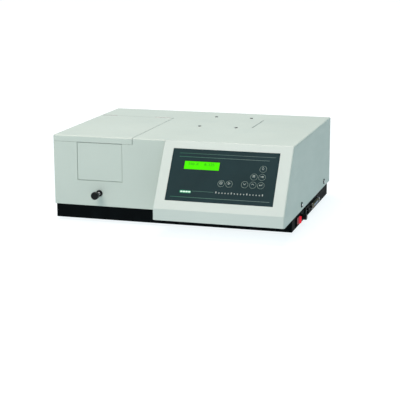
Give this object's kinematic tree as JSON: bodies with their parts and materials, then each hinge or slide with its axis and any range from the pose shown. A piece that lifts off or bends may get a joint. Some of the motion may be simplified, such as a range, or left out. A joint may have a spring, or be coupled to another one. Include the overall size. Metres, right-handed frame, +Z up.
{
  "type": "spectrophotometer",
  "caption": "Bench-top UV-visible spectrophotometer with a hinged sample lid, a sloping control panel with round keys and a green display, and a pull-rod cell changer.",
  "frame": {"origin": "centre of the footprint at bench level, under the feet", "axes": "+X to the operator's right, +Y to the rear, +Z up; the control panel faces -Y"},
  "size_m": [0.6442, 0.571, 0.2248],
  "materials": {
    "case_paint": "fine textured powder coat, pale grey green",
    "bezel_plastic": "smooth matt moulding, off-white",
    "tray_paint": "black textured paint",
    "overlay_film": "dark slate printed film",
    "key_film": "dark slate printed film, domed",
    "lcd_window": "back-lit yellow-green liquid crystal window",
    "black_plastic": "black moulded plastic",
    "rocker_red": "red translucent plastic",
    "rubber": "black rubber",
    "plated_steel": "bright zinc plate",
    "black_steel": "blackened steel",
    "black_anodised": "matt black anodised",
    "quartz": "polished fused silica",
    "mirror_coat": "aluminised front surface",
    "board_green": "green circuit board with dark components",
    "brass": "turned brass",
    "plated_sheet": "plated sheet steel",
    "core_iron": "varnished laminations and winding"
  },
  "bodies": {
    "housing": {"base_tray": "tray_paint", "rubber_feet": "rubber", "upper_case": "case_paint", "control_bezel": "bezel_plastic", "membrane_overlay": "overlay_film", "lcd_screen": "lcd_window", "lcd_board": "board_green", "keypad_board": "board_green", "front_access_plate": "case_paint", "compartment_deck": "black_anodised", "sample_chamber": "black_anodised", "beam_windows": "quartz", "rod_bush": "black_plastic", "carriage_rails": "plated_steel", "mono_housing": "black_anodised", "mono_cover": "black_anodised", "slit_plates": "plated_sheet", "mono_mirrors": "mirror_coat", "wavelength_motor": "plated_sheet", "small_motors": "plated_sheet", "lamp_house": "plated_sheet", "deuterium_lamp": "quartz", "tungsten_lamp": "quartz", "detector_box": "plated_sheet", "photodiode": "plated_sheet", "main_board": "board_green", "power_board": "board_green", "transformer": "core_iron", "fan_frame": "black_plastic", "power_switch_body": "black_plastic", "fuse_holder": "black_plastic", "power_inlet": "black_plastic", "inlet_pins": "plated_steel", "printer_port": "plated_sheet", "case_screws": "black_steel", "top_screws": "plated_steel", "hinge_leaves": "plated_steel", "hinge_pins": "plated_steel"},
    "lid": {"sample_lid": "case_paint", "lid_seal": "rubber", "lid_hinge_leaves": "plated_steel"},
    "cell_changer": {"cell_carriage": "black_anodised", "pull_rod": "plated_steel", "rod_knob": "black_plastic"},
    "rocker": {"power_rocker": "rocker_red"},
    "fan": {"fan_rotor": "black_plastic"},
    "lead_screw": {"lead_screw": "plated_steel"},
    "drive_nut": {"drive_nut": "brass"},
    "grating_turntable": {"grating_table": "black_anodised", "grating": "mirror_coat"},
    "filter_wheel": {"filter_wheel": "black_anodised"},
    "source_mirror": {"source_mirror": "mirror_coat"},
    "key_print": {"key_print": "key_film"},
    "key_start": {"key_start": "key_film"},
    "key_down": {"key_down": "key_film"},
    "key_up": {"key_up": "key_film"},
    "key_enter": {"key_enter": "key_film"},
    "key_mode": {"key_mode": "key_film"},
    "key_goto": {"key_goto": "key_film"},
    "key_zero": {"key_zero": "key_film"}
  },
  "joints": [
    {"name": "lid_hinge", "type": "hinge", "parent": "housing", "child": "lid", "pos_m": [-0.21, 0.1515, 0.222], "axis": [-1, 0, 0], "range_deg": [0, 80]},
    {"name": "cell_changer_slide", "type": "slide", "parent": "housing", "child": "cell_changer", "axis": [0, -1, 0], "range_m": [0, 0.048]},
    {"name": "power_rocker_tilt", "type": "hinge", "parent": "housing", "child": "rocker", "pos_m": [0.308, -0.1195, 0.0235], "axis": [0, 0, 1], "range_deg": [0, 24]},
    {"name": "fan_spin", "type": "hinge", "parent": "housing", "child": "fan", "pos_m": [0.08, 0.2715, 0.113], "axis": [0, 1, 0], "continuous": true},
    {"name": "lead_screw_turn", "type": "hinge", "parent": "housing", "child": "lead_screw", "pos_m": [0, -0.0945, 0.063], "axis": [1, 0, 0], "range_deg": [-1810, 1810]},
    {"name": "drive_nut_slide", "type": "slide", "parent": "housing", "child": "drive_nut", "axis": [1, 0, 0], "range_m": [-0.01, 0.01]},
    {"name": "grating_turn", "type": "hinge", "parent": "housing", "child": "grating_turntable", "pos_m": [0.01, -0.0345, 0.079], "axis": [0, 0, 1], "range_deg": [-9.8, 9.8]},
    {"name": "filter_wheel_spin", "type": "hinge", "parent": "housing", "child": "filter_wheel", "pos_m": [0.092, 0.0125, 0.098], "axis": [0, 1, 0], "continuous": true},
    {"name": "source_mirror_turn", "type": "hinge", "parent": "housing", "child": "source_mirror", "pos_m": [0.07, 0.0775, 0.098], "axis": [0, 0, 1], "range_deg": [0, 50]},
    {"name": "key_print_press", "type": "slide", "parent": "housing", "child": "key_print", "axis": [0, 0.8321, -0.5547], "range_m": [0, 0.0004], "stiffness_N_per_m": 1500},
    {"name": "key_start_press", "type": "slide", "parent": "housing", "child": "key_start", "axis": [0, 0.8321, -0.5547], "range_m": [0, 0.0004], "stiffness_N_per_m": 1500},
    {"name": "key_down_press", "type": "slide", "parent": "housing", "child": "key_down", "axis": [0, 0.8321, -0.5547], "range_m": [0, 0.0004], "stiffness_N_per_m": 1500},
    {"name": "key_up_press", "type": "slide", "parent": "housing", "child": "key_up", "axis": [0, 0.8321, -0.5547], "range_m": [0, 0.0004], "stiffness_N_per_m": 1500},
    {"name": "key_enter_press", "type": "slide", "parent": "housing", "child": "key_enter", "axis": [0, 0.8321, -0.5547], "range_m": [0, 0.0004], "stiffness_N_per_m": 1500},
    {"name": "key_mode_press", "type": "slide", "parent": "housing", "child": "key_mode", "axis": [0, 0.8321, -0.5547], "range_m": [0, 0.0004], "stiffness_N_per_m": 1500},
    {"name": "key_goto_press", "type": "slide", "parent": "housing", "child": "key_goto", "axis": [0, 0.8321, -0.5547], "range_m": [0, 0.0004], "stiffness_N_per_m": 1500},
    {"name": "key_zero_press", "type": "slide", "parent": "housing", "child": "key_zero", "axis": [0, 0.8321, -0.5547], "range_m": [0, 0.0004], "stiffness_N_per_m": 1500}
  ],
  "couplings": [
    {"joint": "lead_screw_turn", "follows": "drive_nut_slide", "rad_per_m": 3141.6},
    {"joint": "grating_turn", "follows": "drive_nut_slide", "rad_per_m": 16.667}
  ]
}
